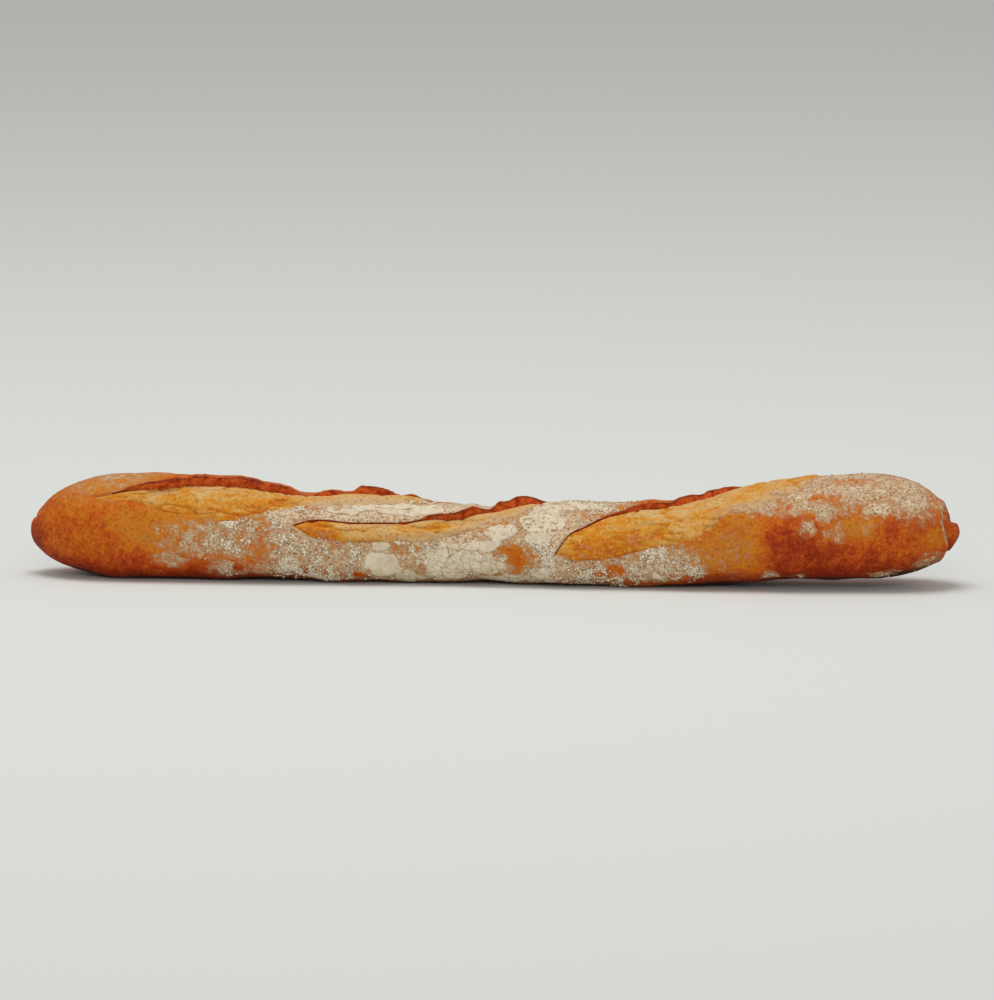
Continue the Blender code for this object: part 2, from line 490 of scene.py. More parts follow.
SLASHES = (
    Slash("left",
          ear_line=((-0.252, 46), (-0.236, 50), (-0.224, 54), (-0.211, 59), (-0.203, 62),
                    (-0.186, 67), (-0.165, 72), (-0.145, 74), (-0.113, 76), (-0.093, 85),
                    (-0.069, 95), (-0.038, 100)),
          lower_line=((-0.252, 38), (-0.244, 39), (-0.220, 38), (-0.209, 31), (-0.188, 26),
                      (-0.146, 33), (-0.131, 43), (-0.105, 54), (-0.083, 62), (-0.058, 72),
                      (-0.038, 86)),
          ear_height=((-0.238, 0.0000), (-0.230, 0.0014), (-0.222, 0.0042), (-0.210, 0.0060),
                      (-0.200, 0.0066), (-0.185, 0.0066), (-0.170, 0.0060), (-0.150, 0.0062),
                      (-0.138, 0.0048), (-0.129, 0.0050), (-0.120, 0.0007), (-0.115, 0.0008),
                      (-0.107, 0.0030), (-0.099, 0.0028), (-0.093, 0.0013), (-0.089, 0.0018),
                      (-0.084, 0.0052), (-0.078, 0.0058), (-0.070, 0.0048), (-0.060, 0.0010),
                      (-0.053, 0.0030), (-0.046, 0.0012), (-0.038, 0.0000)),
          tone=((-0.252, 0.10), (-0.235, 0.15), (-0.220, 0.05), (-0.190, 0.02), (-0.160, 0.10),
                (-0.140, 0.10), (-0.120, -0.20), (-0.080, -0.30), (-0.038, -0.30)),
          deepening=0.50, torn_until=-0.060,
          floury=((-0.252, 0.30), (-0.200, 0.10), (-0.130, 0.10), (-0.112, 0.70), (-0.038, 0.9)),
          swell=0.0020, rim=0.0000),
    Slash("middle",
          ear_line=((-0.1245, 24), (-0.1145, 31), (-0.084, 34), (-0.053, 39), (-0.037, 47),
                    (-0.020, 56), (-0.012, 65), (-0.005, 71), (0.004, 76), (0.0135, 81),
                    (0.022, 90), (0.035, 100)),
          lower_line=((-0.1245, 18), (-0.118, 13), (-0.102, 9), (-0.073, 8), (-0.060, 10),
                      (-0.042, 12), (-0.021, 25), (-0.001, 43), (0.014, 54), (0.024, 66),
                      (0.035, 95)),
          ear_height=((-0.1245, 0.0000), (-0.110, 0.0002), (-0.084, 0.0003), (-0.055, 0.0004),
                      (-0.044, 0.0009), (-0.035, 0.0032), (-0.024, 0.0042), (-0.012, 0.0056),
                      (-0.005, 0.0022), (-0.001, 0.0024), (0.004, 0.0058), (0.009, 0.0052),
                      (0.015, 0.0066), (0.025, 0.0048), (0.031, 0.0020), (0.036, 0.0000)),
          tone=((-0.1245, 0.35), (-0.110, 0.42), (-0.100, 0.20), (-0.080, 0.02), (-0.060, 0.00),
                (-0.045, -0.05), (-0.035, 0.05), (-0.020, -0.30), (0.035, -0.4)),
          deepening=0.35, torn_until=0.040,
          floury=((-0.1245, 0.10), (-0.090, 0.20), (-0.060, 0.55), (-0.040, 0.90), (0.035, 1.0)),
          swell=0.0016, rim=0.0002),
    Slash("right",
          ear_line=((0.0385, -6), (0.0415, 4), (0.0450, 14), (0.050, 27), (0.0595, 39),
                    (0.0685, 50), (0.080, 62), (0.0925, 68), (0.105, 70), (0.112, 78),
                    (0.120, 83), (0.130, 90), (0.142, 95), (0.165, 100), (0.205, 98)),
          lower_line=((0.0385, -9), (0.045, -8), (0.059, -7), (0.0835, -1), (0.099, 7),
                      (0.115, 12), (0.130, 18), (0.139, 26), (0.146, 36), (0.157, 37),
                      (0.168, 42), (0.180, 52), (0.190, 57), (0.205, 74)),
          ear_height=((0.0385, 0.0000), (0.048, 0.0003), (0.062, 0.0009), (0.080, 0.0013),
                      (0.092, 0.0030), (0.100, 0.0050), (0.106, 0.0036), (0.111, 0.0020),
                      (0.118, 0.0044), (0.124, 0.0050), (0.129, 0.0034), (0.136, 0.0046),
                      (0.145, 0.0040), (0.151, 0.0022), (0.158, 0.0000)),
          tone=((0.0385, 0.42), (0.050, 0.38), (0.070, 0.30), (0.090, 0.15), (0.105, 0.08),
                (0.118, 0.02), (0.132, 0.02), (0.145, 0.05), (0.165, 0.10), (0.205, 0.15)),
          deepening=0.42, torn_until=0.150,
          floury=((0.0385, 0.30), (0.100, 0.15), (0.125, 0.05), (0.142, 0.45), (0.165, 0.8),
                  (0.205, 0.9)),
          swell=0.0022, rim=0.0004),
)


@dataclass(frozen=True)
class Patch:
    """An area of the skin, round or long, given in metres along and degrees round."""
    place: float
    angle: float
    length: float
    breadth: float
    strength: float = 1.0

    def cover(self, x: Grid, angle: Grid) -> Grid:
        """Return the patch's strength, falling off as a bell from its centre."""
        across = ((x - self.place) / self.length) ** 2 + ((angle - self.angle) / self.breadth) ** 2
        return self.strength * np.exp(-across**1.5)


def covered(patches: tuple[Patch, ...], x: Grid, angle: Grid, points: Grid) -> Grid:
    """Return the strongest cover of several patches at each point.

    The patches' outlines are made uneven by looking them up a few millimetres away, as
    far as two soft noises say.

    Args:
        patches: the areas.
        x: places along the loaf.
        angle: angles round the section.
        points: the same places in space, for the noise.

    Returns:
        The cover, 0 outside every patch.
    """
    total = np.zeros(np.broadcast(x, angle).shape)
    x = x + 5 * MM * layered(points, 11 * MM, 4, 171)
    angle = angle + 11 * layered(points, 11 * MM, 4, 177)
    for patch in patches:
        total = np.maximum(total, patch.cover(x, angle))
    return total


# Flour risen into little lumps, as (place, angle, length, breadth, strength).
LUMPED = tuple(Patch(*row) for row in (
    (-0.163, 17, 0.012, 7, 1.1), (-0.148, 15, 0.006, 9, 1.0), (-0.172, 6, 0.010, 4, 0.7),
    (-0.157, -2, 0.012, 9, 0.9), (-0.131, 31, 0.005, 12, 1.3), (-0.118, 42, 0.016, 6, 0.7),
    (-0.126, 0, 0.010, 20, 1.0), (-0.124, -30, 0.014, 24, 1.0), (-0.106, -16, 0.014, 30, 0.8),
    (-0.086, -6, 0.008, 14, 0.9), (-0.095, -38, 0.016, 14, 0.9), (-0.160, -40, 0.010, 10, 0.4),
    (-0.028, 0, 0.026, 14, 0.9), (-0.050, 12, 0.018, 7, 0.7), (0.034, 4, 0.008, 22, 1.0),
    (0.040, -28, 0.014, 26, 0.8), (0.064, -34, 0.022, 22, 0.8), (0.104, -4, 0.012, 14, 0.9),
    (0.098, -30, 0.014, 16, 0.8), (0.126, -16, 0.008, 24, 0.9), (0.112, -18, 0.016, 22, 0.6),
    (0.052, 92, 0.030, 22, 0.9), (-0.045, 76, 0.014, 8, 0.6), (0.070, 66, 0.016, 8, 0.8)))
# Flour lying in smooth sheets.
SMOOTH = tuple(Patch(*row) for row in (
    (-0.067, -22, 0.013, 22, 1.5), (-0.066, 5, 0.006, 6, 1.3), (-0.072, 51, 0.032, 9, 1.6),
    (-0.052, 60, 0.030, 10, 1.6), (-0.002, 12, 0.012, 8, 1.5), (0.009, 30, 0.013, 15, 1.3),
    (0.033, 46, 0.015, 40, 1.4), (0.054, 76, 0.020, 13, 1.3), (0.106, -29, 0.005, 9, 1.4),
    (-0.108, -46, 0.008, 9, 1.1)))
# Flour cracked into small tiles.
CRACKLED = tuple(Patch(*row) for row in (
    (-0.026, -18, 0.020, 34, 1.5), (-0.048, -42, 0.014, 14, 1.3), (-0.008, -14, 0.024, 22, 1.3),
    (0.012, -44, 0.024, 12, 1.2), (0.030, -34, 0.012, 20, 1.0), (-0.012, 4, 0.016, 14, 1.2)))
# Thin flour, dusted or rubbed on, that only tints the skin.
DUSTED = tuple(Patch(*row) for row in (
    (-0.165, 4, 0.046, 26, 0.55), (-0.197, -18, 0.014, 16, 0.50), (-0.161, -36, 0.018, 18, 0.60),
    (-0.118, 2, 0.030, 46, 0.66), (-0.075, -20, 0.040, 40, 0.72), (-0.020, 0, 0.045, 60, 0.80),
    (0.040, 20, 0.036, 80, 0.78), (0.100, -15, 0.038, 34, 0.66), (-0.060, 56, 0.060, 20, 0.90),
    (-0.078, 42, 0.052, 13, 0.95), (-0.128, 38, 0.022, 16, 0.85), (-0.138, -34, 0.020, 18, 0.5),
    (-0.246, 72, 0.034, 40, 0.34), (-0.150, 24, 0.018, 10, 0.45), (-0.010, 70, 0.045, 30, 0.85),
    (0.050, 90, 0.045, 40, 0.78), (0.170, 42, 0.020, 12, 0.62), (0.190, 62, 0.026, 30, 0.78),
    (0.225, 70, 0.042, 44, 0.76), (0.258, 62, 0.026, 44, 0.72), (0.205, 34, 0.024, 14, 0.72),
    (0.198, 10, 0.007, 8, 0.62), (0.214, 10, 0.010, 9, 0.50), (0.241, 31, 0.009, 9, 0.95),
    (0.175, -44, 0.007, 10, 0.70), (0.193, -48, 0.006, 6, 0.65), (0.243, -56, 0.012, 12, 0.50),
    (0.272, -50, 0.012, 26, 0.42), (-0.234, 86, 0.032, 34, 0.42), (-0.190, 96, 0.050, 22, 0.42),
    (-0.050, 130, 0.060, 40, 0.6), (0.060, 140, 0.070, 40, 0.6), (0.180, 130, 0.060, 40, 0.55),
    (-0.200, 150, 0.050, 40, 0.35), (0.0, 200, 0.10, 30, 0.45), (0.010, -60, 0.115, 17, 0.62),
    (0.148, -10, 0.032, 50, 0.20), (0.232, 16, 0.018, 16, 0.24)))
# Bare skin inside the floured stretch.
BARE = tuple(Patch(*row) for row in (
    (0.008, 2, 0.008, 10, 0.42), (0.018, -6, 0.010, 14, 0.50), (-0.050, 2, 0.012, 7, 0.20),
    (-0.041, -30, 0.0035, 16, 0.6), (-0.081, -40, 0.005, 8, 0.7), (0.080, -24, 0.008, 8, 0.55),
    (-0.156, -34, 0.004, 6, 0.6), (0.210, 44, 0.014, 6, 0.16), (0.222, 68, 0.016, 10, 0.34),
    (0.196, 62, 0.012, 8, 0.25), (-0.142, -4, 0.008, 12, 0.20), (0.072, -2, 0.020, 4, 0.3)))
# Darker, redder baking.
SCORCHED = tuple(Patch(*row) for row in (
    (0.183, -6, 0.015, 26, 1.0), (0.018, -6, 0.008, 12, 0.25), (-0.248, -46, 0.030, 18, 0.45),
    (-0.182, -52, 0.050, 14, 0.5), (0.212, -50, 0.050, 26, 0.8), (0.246, -25, 0.026, 30, 0.5),
    (-0.288, -10, 0.006, 60, 0.8), (0.252, 10, 0.014, 22, 0.5), (0.205, -20, 0.018, 20, 0.7),
    (-0.232, -14, 0.026, 14, 0.3)))
# Lighter, more golden baking.
GOLDEN = tuple(Patch(*row) for row in (
    (-0.214, 12, 0.024, 26, 0.8), (0.000, 10, 0.120, 70, 0.45), (0.225, 70, 0.040, 40, 0.35),
    (-0.262, 40, 0.016, 16, 0.5), (-0.236, 72, 0.040, 30, 0.9), (0.152, 0, 0.022, 28, 0.8),
    (0.232, 14, 0.016, 12, 1.0), (0.276, -4, 0.008, 26, 0.6), (0.140, -18, 0.016, 22, 0.7),
    (-0.150, -10, 0.024, 14, 0.6), (-0.185, 26, 0.045, 18, 1.0), (-0.248, 56, 0.012, 10, 1.0),
    (0.150, 24, 0.026, 20, 0.7)))


@dataclass(frozen=True)
class Relief:
    """Everything that stands on or sinks into the smooth loaf, as heights in metres."""
    form: LoafForm
    slashes: tuple[Slash, ...]
    ear_back: float = 11 * MM
    hollow: float = 2.6 * MM
    edge: float = 1.3 * MM

    def opening(self, x: Grid, angle: Grid, points: Grid) -> Grid:
        """Return how far inside an opening each point is, from 0 on skin to 1 within.

        The rise takes one edge width in from the ear's foot and from the lower line, both
        made ragged by soft noise.
        """
        ragged = 0.7 * MM * layered(points, 5 * MM, 3, 41)
        inside = np.zeros(np.broadcast(x, angle).shape)
        for slash in self.slashes:
            gap, width = slash.distance(self.form, x, angle)
            gap = gap + 0.3 * ragged
            here = ramp(0, self.edge, gap) * ramp(0, self.edge, width - gap + ragged)
            inside = np.maximum(inside, here * (slash.closing(x) > 0))
        return inside

    def rims(self, x: Grid, angle: Grid) -> Grid:
        """Return the swelling behind each ear and the lip along each lower edge."""
        total = np.zeros(np.broadcast(x, angle).shape)
        for slash in self.slashes:
            gap, width = slash.distance(self.form, x, angle)
            fade = slash.closing(x)
            behind = bell(np.minimum(gap, 0.0), self.ear_back)
            total += 0.82 * slash.height(x) * behind * (gap <= 0) * ramp(0, 0.3, fade)
            total += slash.rim * bell(gap - width - 1.2 * MM, 1.8 * MM) * fade
        return total

    def blisters(self, points: Grid) -> Grid:
        """Return the skin's own unevenness: broad dents, small blisters and fine grain."""
        broad = 0.55 * MM * layered(points, 17 * MM, 3, 3)
        fine = value_noise(points / (2.6 * MM), 11)
        pocks = 0.16 * MM * np.clip(fine, 0, 1) ** 1.5
        grain = 0.16 * MM * layered(points, 3.4 * MM, 3, 23)
        return broad + pocks + grain

    def tips(self, x: Grid, angle: Grid, points: Grid) -> Grid:
        """Return the folds at the two ends.

        The right end was rolled shut: a crease rings the tip and a small nub fills it. The
        left end has a small nose with a cleft above it.
        """
        widest, _, _, _, bow = self.form.measures(x)
        right_gap = self.form.length / 2 - x
        off, ring = self.form.fold(x, angle, points)
        turn = np.radians(angle)
        near = ramp(0.045, 0.020, right_gap)
        crease = -1.2 * MM * bell(off - ring, 1.2 * MM)
        outer = 1.0 * MM * bell(off - ring - 2.4 * MM, 1.7 * MM)
        from_nub = np.hypot(points[..., 1] - bow, points[..., 2] - widest + 3 * MM)
        on_nub = ramp(12 * MM, 8 * MM, from_nub)
        well = ramp(16.5 * MM, 13 * MM, off) * ramp(0.030, 0.012, right_gap)
        nub = well * (3.6 * MM * on_nub - 3.4 * MM)
        left_gap = x + self.form.length / 2
        tip = ramp(0.030, 0.010, left_gap)
        nose = 2.0 * MM * ramp(16 * MM, 2 * MM, off)
        cleft = -1.5 * MM * bell(off - 8.5 * MM, 1.5 * MM) * ramp(0.1, 0.8, np.sin(turn))
        return near * (crease + outer) + nub + tip * (cleft + nose)

    def skin_height(self, x: Grid, angle: Grid, points: Grid) -> Grid:
        """Return the crust's height, diving under the opened dough inside a cut."""
        inside = self.opening(x, angle, points)
        ends = ramp(0.0, 0.25, self.form.taper(x, 2))
        skin = self.rims(x, angle) + self.blisters(points) * (0.35 + 0.65 * ends)
        return skin * (1 - inside) - self.hollow * inside + self.tips(x, angle, points)


@dataclass(frozen=True)
class Dressing:
    """Where the skin is floured, dark or golden, as numbers for each point, with a painted highlight
    by the right end's crease and painted shade along the underside.
    """
    form: LoafForm

    def cover(self, patches: tuple[Patch, ...], x: Grid, angle: Grid, points: Grid) -> Grid:
        """Return how far a kind of flour covers each point, less where the skin is bare."""
        patchy = 1.0 + 1.1 * layered(points, 3 * MM, 3, 191)
        return (covered(patches, x, angle, points)
                - patchy * covered(BARE, x, angle, points))

    def dust_and_highlight(self, x: Grid, angle: Grid, points: Grid) -> Grid:
        """Return the tinting by thin flour, which also lies under the thicker kinds, and a pale
        painted highlight along the right end's ring crease.
        """
        total = np.zeros(np.broadcast(x, angle).shape)
        for share, patches in ((1.0, DUSTED), (0.5, LUMPED), (0.9, SMOOTH), (0.8, CRACKLED)):
            total = np.maximum(total, share * self.cover(patches, x, angle, points))
        shaken = 0.16 * layered(points, 9 * MM, 3, 181) * ramp(0.05, 0.2, total)
        # A pale line beside the right end's ring crease is a painted highlight, kept with the flour.
        off, ring = self.form.fold(x, angle, points)
        folded = 0.6 * bell(off - ring - 1.6 * MM, 1.5 * MM) * ramp(0.22, 0.26, x)
        return np.clip(np.maximum(total + shaken, folded), 0, 1)

    def bake(self, x: Grid, angle: Grid, points: Grid) -> Grid:
        """Return how dark the skin is baked: 0 golden, 0.5 orange brown, 1 dark red.

        The lower sides are darker than the upper ones, the ends darker than the middle.
        """
        low = ramp(-5, -60, angle) * 0.28
        base = 0.44 + low + 0.10 * ramp(0.16, 0.20, x) + 0.03 * ramp(-0.24, -0.28, x)
        mottled = 0.16 * layered(points, 24 * MM, 2, 61) + 0.14 * layered(points, 7 * MM, 3, 65)
        return (base + mottled + 0.34 * covered(SCORCHED, x, angle, points)
                - 0.46 * covered(GOLDEN, x, angle, points))

    def sole_and_shade(self, x: Grid, angle: Grid) -> Grid:
        """Return the underside, which lay on the baking sheet: its own darker baked colour, and
        painted shade along the loaf's bottom edge.
        """
        return ramp(36, 27, np.abs(angle + 90)) * ramp(0.5, 0.9, self.form.taper(x, 1))


# --------------------------------------------------------------------------- finishes

def tint(red: int, green: int, blue: int) -> tuple[float, float, float, float]:
    """Turn a colour seen on screen, 0 to 255, into light amounts for a shader."""
    parts = [c / 255 for c in (red, green, blue)]
    light = [c / 12.92 if c <= 0.04045 else ((c + 0.055) / 1.055) ** 2.4 for c in parts]
    return (*light, 1.0)


class Bench:
    """Builds one material's nodes, each call adding a node and wiring what it is given."""

    def __init__(self, name: str) -> None:
        """Start a material with an empty Principled shader."""
        self.material = bpy.data.materials.new(name)
        self.material.use_nodes = True
        self.tree = self.material.node_tree
        self.shader = self.tree.nodes["Principled BSDF"]
        coordinates = self.tree.nodes.new("ShaderNodeTexCoord")
        self.place = coordinates.outputs["Object"]

    def wire(self, socket: bpy.types.NodeSocket, value: object) -> None:
        """Link an output to a socket, or set the socket to a plain value."""
        if isinstance(value, bpy.types.NodeSocket):
            self.tree.links.new(value, socket)
        else:
            socket.default_value = value

    def value(self, name: str) -> bpy.types.NodeSocket:
        """Read a number that the mesh holds for each vertex."""
        node = self.tree.nodes.new("ShaderNodeAttribute")
        node.attribute_name = name
        return node.outputs["Fac"]

    def noise(self, size: float, detail: float = 3.0, stretch: tuple[float, float, float] = (1, 1, 1),
              roughness: float = 0.55) -> bpy.types.NodeSocket:
        """Return cloudy noise whose largest blots are about size metres wide."""
        mapping = self.tree.nodes.new("ShaderNodeMapping")
        mapping.inputs["Scale"].default_value = stretch
        self.tree.links.new(self.place, mapping.inputs["Vector"])
        node = self.tree.nodes.new("ShaderNodeTexNoise")
        node.inputs["Scale"].default_value = 1 / size
        node.inputs["Detail"].default_value = detail
        node.inputs["Roughness"].default_value = roughness
        self.tree.links.new(mapping.outputs["Vector"], node.inputs["Vector"])
        return node.outputs["Fac"]

    def math(self, operation: str, *values: object) -> bpy.types.NodeSocket:
        """Combine numbers by one operation of the Math node."""
        node = self.tree.nodes.new("ShaderNodeMath")
        node.operation = operation
        for socket, value in zip(node.inputs, values):
            self.wire(socket, value)
        return node.outputs[0]

    def rise(self, value: object, low: float, high: float, bottom: float = 0.0,
             top: float = 1.0) -> bpy.types.NodeSocket:
        """Map a number smoothly from the range low to high onto bottom to top."""
        node = self.tree.nodes.new("ShaderNodeMapRange")
        node.interpolation_type = "SMOOTHSTEP"
        for socket, number in zip(node.inputs, (value, low, high, bottom, top)):
            self.wire(socket, number)
        return node.outputs[0]

    def colours(self, value: object, stops: list[tuple[float, tuple]]) -> bpy.types.NodeSocket:
        """Pick a colour along a row of (position, colour) stops."""
        node = self.tree.nodes.new("ShaderNodeValToRGB")
        band = node.color_ramp
        while len(band.elements) < len(stops):
            band.elements.new(0.5)
        for element, (position, colour) in zip(band.elements, stops):
            element.position = position
            element.color = colour
        self.wire(node.inputs["Fac"], value)
        return node.outputs["Color"]

    def blend(self, amount: object, first: object, second: object,
              mode: str = "MIX") -> bpy.types.NodeSocket:
        """Mix two colours."""
        node = self.tree.nodes.new("ShaderNodeMix")
        node.data_type = "RGBA"
        node.blend_type = mode
        self.wire(node.inputs["Factor"], amount)
        self.wire(node.inputs[6], first)
        self.wire(node.inputs[7], second)
        return node.outputs[2]

    def bump(self, height: object, distance: float, strength: float = 1.0) -> None:
        """Roughen the shader's surface by a height in units of distance."""
        node = self.tree.nodes.new("ShaderNodeBump")
        node.inputs["Strength"].default_value = strength
        node.inputs["Distance"].default_value = distance
        self.wire(node.inputs["Height"], height)
        self.tree.links.new(node.outputs["Normal"], self.shader.inputs["Normal"])


@dataclass(frozen=True)
class CrustFinish:
    """Baked skin from golden to dark red, its torn ears, and the flour dusted on it, with painted
    shade along its underside and in the crease under low ears.
    """
    golden: tuple = tint(196, 118, 24)
    amber: tuple = tint(192, 92, 12)
    brown: tuple = tint(176, 66, 10)
    dark: tuple = tint(140, 38, 8)
    fleck: tuple = tint(214, 128, 40)
    pit: tuple = tint(126, 46, 8)
    crack: tuple = tint(116, 66, 34)
    torn: tuple = tint(226, 106, 42)
    # Dark torn-crust red, also used as painted shade in the crease under low ears.
    torn_dark_and_shade: tuple = tint(150, 42, 16)
    crest: tuple = tint(104, 50, 28)
    powder: tuple = tint(220, 200, 168)
    haze: tuple = tint(190, 160, 124)
    thin_haze: tuple = tint(178, 124, 72)
    # Dark underside colour: partly the baked underside, partly painted shade along the bottom edge.
    sole_and_shade: tuple = tint(64, 32, 16)

    def browned(self, bench: Bench, fine: object, grain: object) -> bpy.types.NodeSocket:
        """Pick the brown from the baking number, then strew pale flecks and dark pits."""
        coarse = bench.noise(0.009, 4)
        bake = bench.math("ADD", bench.value("bake"),
                          bench.math("ADD", bench.rise(coarse, 0.3, 0.7, -0.12, 0.12),
                                     bench.rise(fine, 0.3, 0.7, -0.16, 0.16)))
        skin = bench.colours(bake, [(0.05, self.golden), (0.38, self.amber), (0.62, self.brown),
                                    (0.95, self.dark)])
        pale = bench.math("MULTIPLY", bench.rise(grain, 0.52, 0.66, 0, 0.50),
                          bench.rise(bake, 0.35, 0.85, 1, 0.40))
        skin = bench.blend(pale, skin, self.fleck)
        return bench.blend(bench.rise(grain, 0.47, 0.35, 0, 0.42), skin, self.pit)

    def tear(self, bench: Bench, fine: object, grain: object) -> bpy.types.NodeSocket:
        """Colour the torn faces, streaked dark, and edge their crests."""
        streak = bench.noise(0.0055, 4, roughness=0.65)
        tone = bench.math("ADD", bench.math("MULTIPLY", streak, 0.7),
                          bench.math("MULTIPLY", grain, 0.3))
        colour = bench.colours(tone, [(0.40, self.torn_dark_and_shade), (0.58, self.torn)])
        edge = bench.math("MULTIPLY", bench.value("crest"), bench.rise(fine, 0.36, 0.56))
        return bench.blend(edge, colour, self.crest)

    def material(self) -> bpy.types.Material:
        """Build the crust.

        Flour tints the skin evenly as the dusting grows, and its grains show where fine
        noise stands above a level that sinks as the dusting grows.
        """
        bench = Bench("baked_crust")
        fine = bench.noise(0.0040, 4, roughness=0.65)
        grain = bench.noise(0.0019, 3, roughness=0.6)
        speck = bench.noise(0.0016, 1)
        skin = bench.blend(bench.value("torn"), self.browned(bench, fine, grain),
                           self.tear(bench, fine, grain))
        shaken = bench.math("MULTIPLY", bench.rise(fine, 0.3, 0.7, -0.22, 0.22),
                            bench.rise(bench.value("dust_and_highlight"), 0.0, 0.25))
        dust_and_highlight = bench.math("ADD", bench.value("dust_and_highlight"), shaken)
        haze = bench.blend(bench.rise(dust_and_highlight, 0.15, 0.65), self.thin_haze, self.haze)
        skin = bench.blend(bench.rise(dust_and_highlight, 0.08, 0.62, 0, 0.93), skin, haze)
        level = bench.math("MULTIPLY_ADD", dust_and_highlight, -0.26, 0.69)
        shown = bench.rise(bench.math("SUBTRACT", grain, level), -0.05, 0.07)
        shown = bench.math("MULTIPLY", shown, bench.rise(dust_and_highlight, 0.12, 0.9, 0, 0.85))
        colour = bench.blend(shown, skin, self.powder)
        pits = bench.math("MULTIPLY", bench.rise(speck, 0.48, 0.30, 0, 0.72),
                          bench.rise(dust_and_highlight, 0.32, 0.6))
        colour = bench.blend(pits, colour, self.crack)
        # Painted shade: the crease at the foot of a low ear is darkened to the dark torn colour.
        colour = bench.blend(bench.value("seam_shade"), colour, self.torn_dark_and_shade)
        # The underside is darkened last, over the flour: partly its own baked colour, partly painted
        # shade along the bottom edge.
        under = bench.math("MULTIPLY", bench.value("sole_and_shade"), 0.9)
        bench.wire(bench.shader.inputs["Base Color"], bench.blend(under, colour, self.sole_and_shade))
        bench.wire(bench.shader.inputs["Roughness"], bench.rise(dust_and_highlight, 0.1, 0.7, 0.62, 0.9))
        bench.wire(bench.shader.inputs["Specular IOR Level"], 0.12)
        bench.bump(bench.math("ADD", bench.math("MULTIPLY", fine, 0.5),
                              bench.math("MULTIPLY", grain, 0.5)), 0.0011, 0.8)
        return bench.material


@dataclass(frozen=True)
class DoughFinish:
    """The dough that swelled out of a cut: cream by the ear, golden and orange lower."""
    shade: tuple = tint(132, 74, 32)
    cream: tuple = tint(208, 166, 104)
    straw: tuple = tint(208, 152, 74)
    gold: tuple = tint(208, 138, 36)
    orange: tuple = tint(204, 112, 14)
    brown: tuple = tint(192, 108, 36)
    pore: tuple = tint(150, 84, 26)
    pale: tuple = tint(226, 184, 118)
    flour: tuple = tint(200, 168, 126)

    def material(self) -> bpy.types.Material:
        """Build the dough: its tone is shaken by noise drawn out along the loaf.

        Flour creeps up from the lower line where noise tops a level that sinks with it.
        """
        bench = Bench("opened_dough")
        streak = bench.noise(0.005, 4, (0.35, 1, 1))
        fine = bench.noise(0.0021, 3, roughness=0.6)
        speck = bench.noise(0.0013, 1)
        cloud = bench.noise(0.014, 3, (0.6, 1, 1))
        tone = bench.math("ADD", bench.value("tone"),
                          bench.math("ADD", bench.rise(streak, 0.3, 0.7, -0.30, 0.30),
                                     bench.rise(cloud, 0.3, 0.7, -0.16, 0.16)))
        skin = bench.colours(tone, [(0.0, self.cream), (0.25, self.straw), (0.5, self.gold),
                                    (0.78, self.orange), (1.0, self.brown)])
        dusted = bench.math("ADD", bench.value("floury"), bench.rise(streak, 0.3, 0.7, -0.3, 0.3))
        skin = bench.blend(bench.rise(dusted, 0.20, 0.80, 0, 0.9), skin, self.flour)
        skin = bench.blend(bench.rise(fine, 0.54, 0.68, 0, 0.45), skin, self.pale)
        skin = bench.blend(bench.rise(fine, 0.46, 0.34, 0, 0.50), skin, self.pore)
        skin = bench.blend(bench.rise(speck, 0.38, 0.26, 0, 0.45), skin, self.pore)
        # Painted shade in the groove at the ear's foot, read from the deep value.
        skin = bench.blend(bench.value("deep"), skin, self.shade)
        bench.wire(bench.shader.inputs["Base Color"], skin)
        bench.wire(bench.shader.inputs["Roughness"], 0.7)
        bench.wire(bench.shader.inputs["Specular IOR Level"], 0.12)
        bench.bump(bench.math("ADD", bench.math("MULTIPLY", fine, 0.6),
                              bench.math("MULTIPLY", streak, 0.6)), 0.0013, 0.8)
        return bench.material


@dataclass(frozen=True)
class FlourFinish:
    """Baked-on flour: chalky, a little warm, darker in its cracks."""
    white: tuple = tint(228, 216, 194)
    warm: tuple = tint(208, 189, 158)
    crumb: tuple = tint(168, 130, 92)
    pit: tuple = tint(120, 92, 66)

    def material(self) -> bpy.types.Material:
        """Build the flour: thin places take on the crust's warmth."""
        bench = Bench("baked_flour")
        cloud = bench.noise(0.007, 3)
        fine = bench.noise(0.0020, 3, roughness=0.6)
        speck = bench.noise(0.0013, 1)
        body = bench.math("ADD", bench.value("thick"), bench.rise(cloud, 0.3, 0.7, -0.16, 0.16))
        colour = bench.colours(body, [(0.05, self.crumb), (0.40, self.warm), (0.85, self.white)])
        colour = bench.blend(bench.rise(fine, 0.46, 0.32, 0, 0.32), colour, self.crumb)
        colour = bench.blend(bench.rise(speck, 0.34, 0.24, 0, 0.7), colour, self.pit)
        bench.wire(bench.shader.inputs["Base Color"], colour)
        bench.wire(bench.shader.inputs["Roughness"], 0.92)
        bench.wire(bench.shader.inputs["Specular IOR Level"], 0.08)
        bench.bump(fine, 0.0006, 0.7)
        return bench.material


# --------------------------------------------------------------------------- pieces

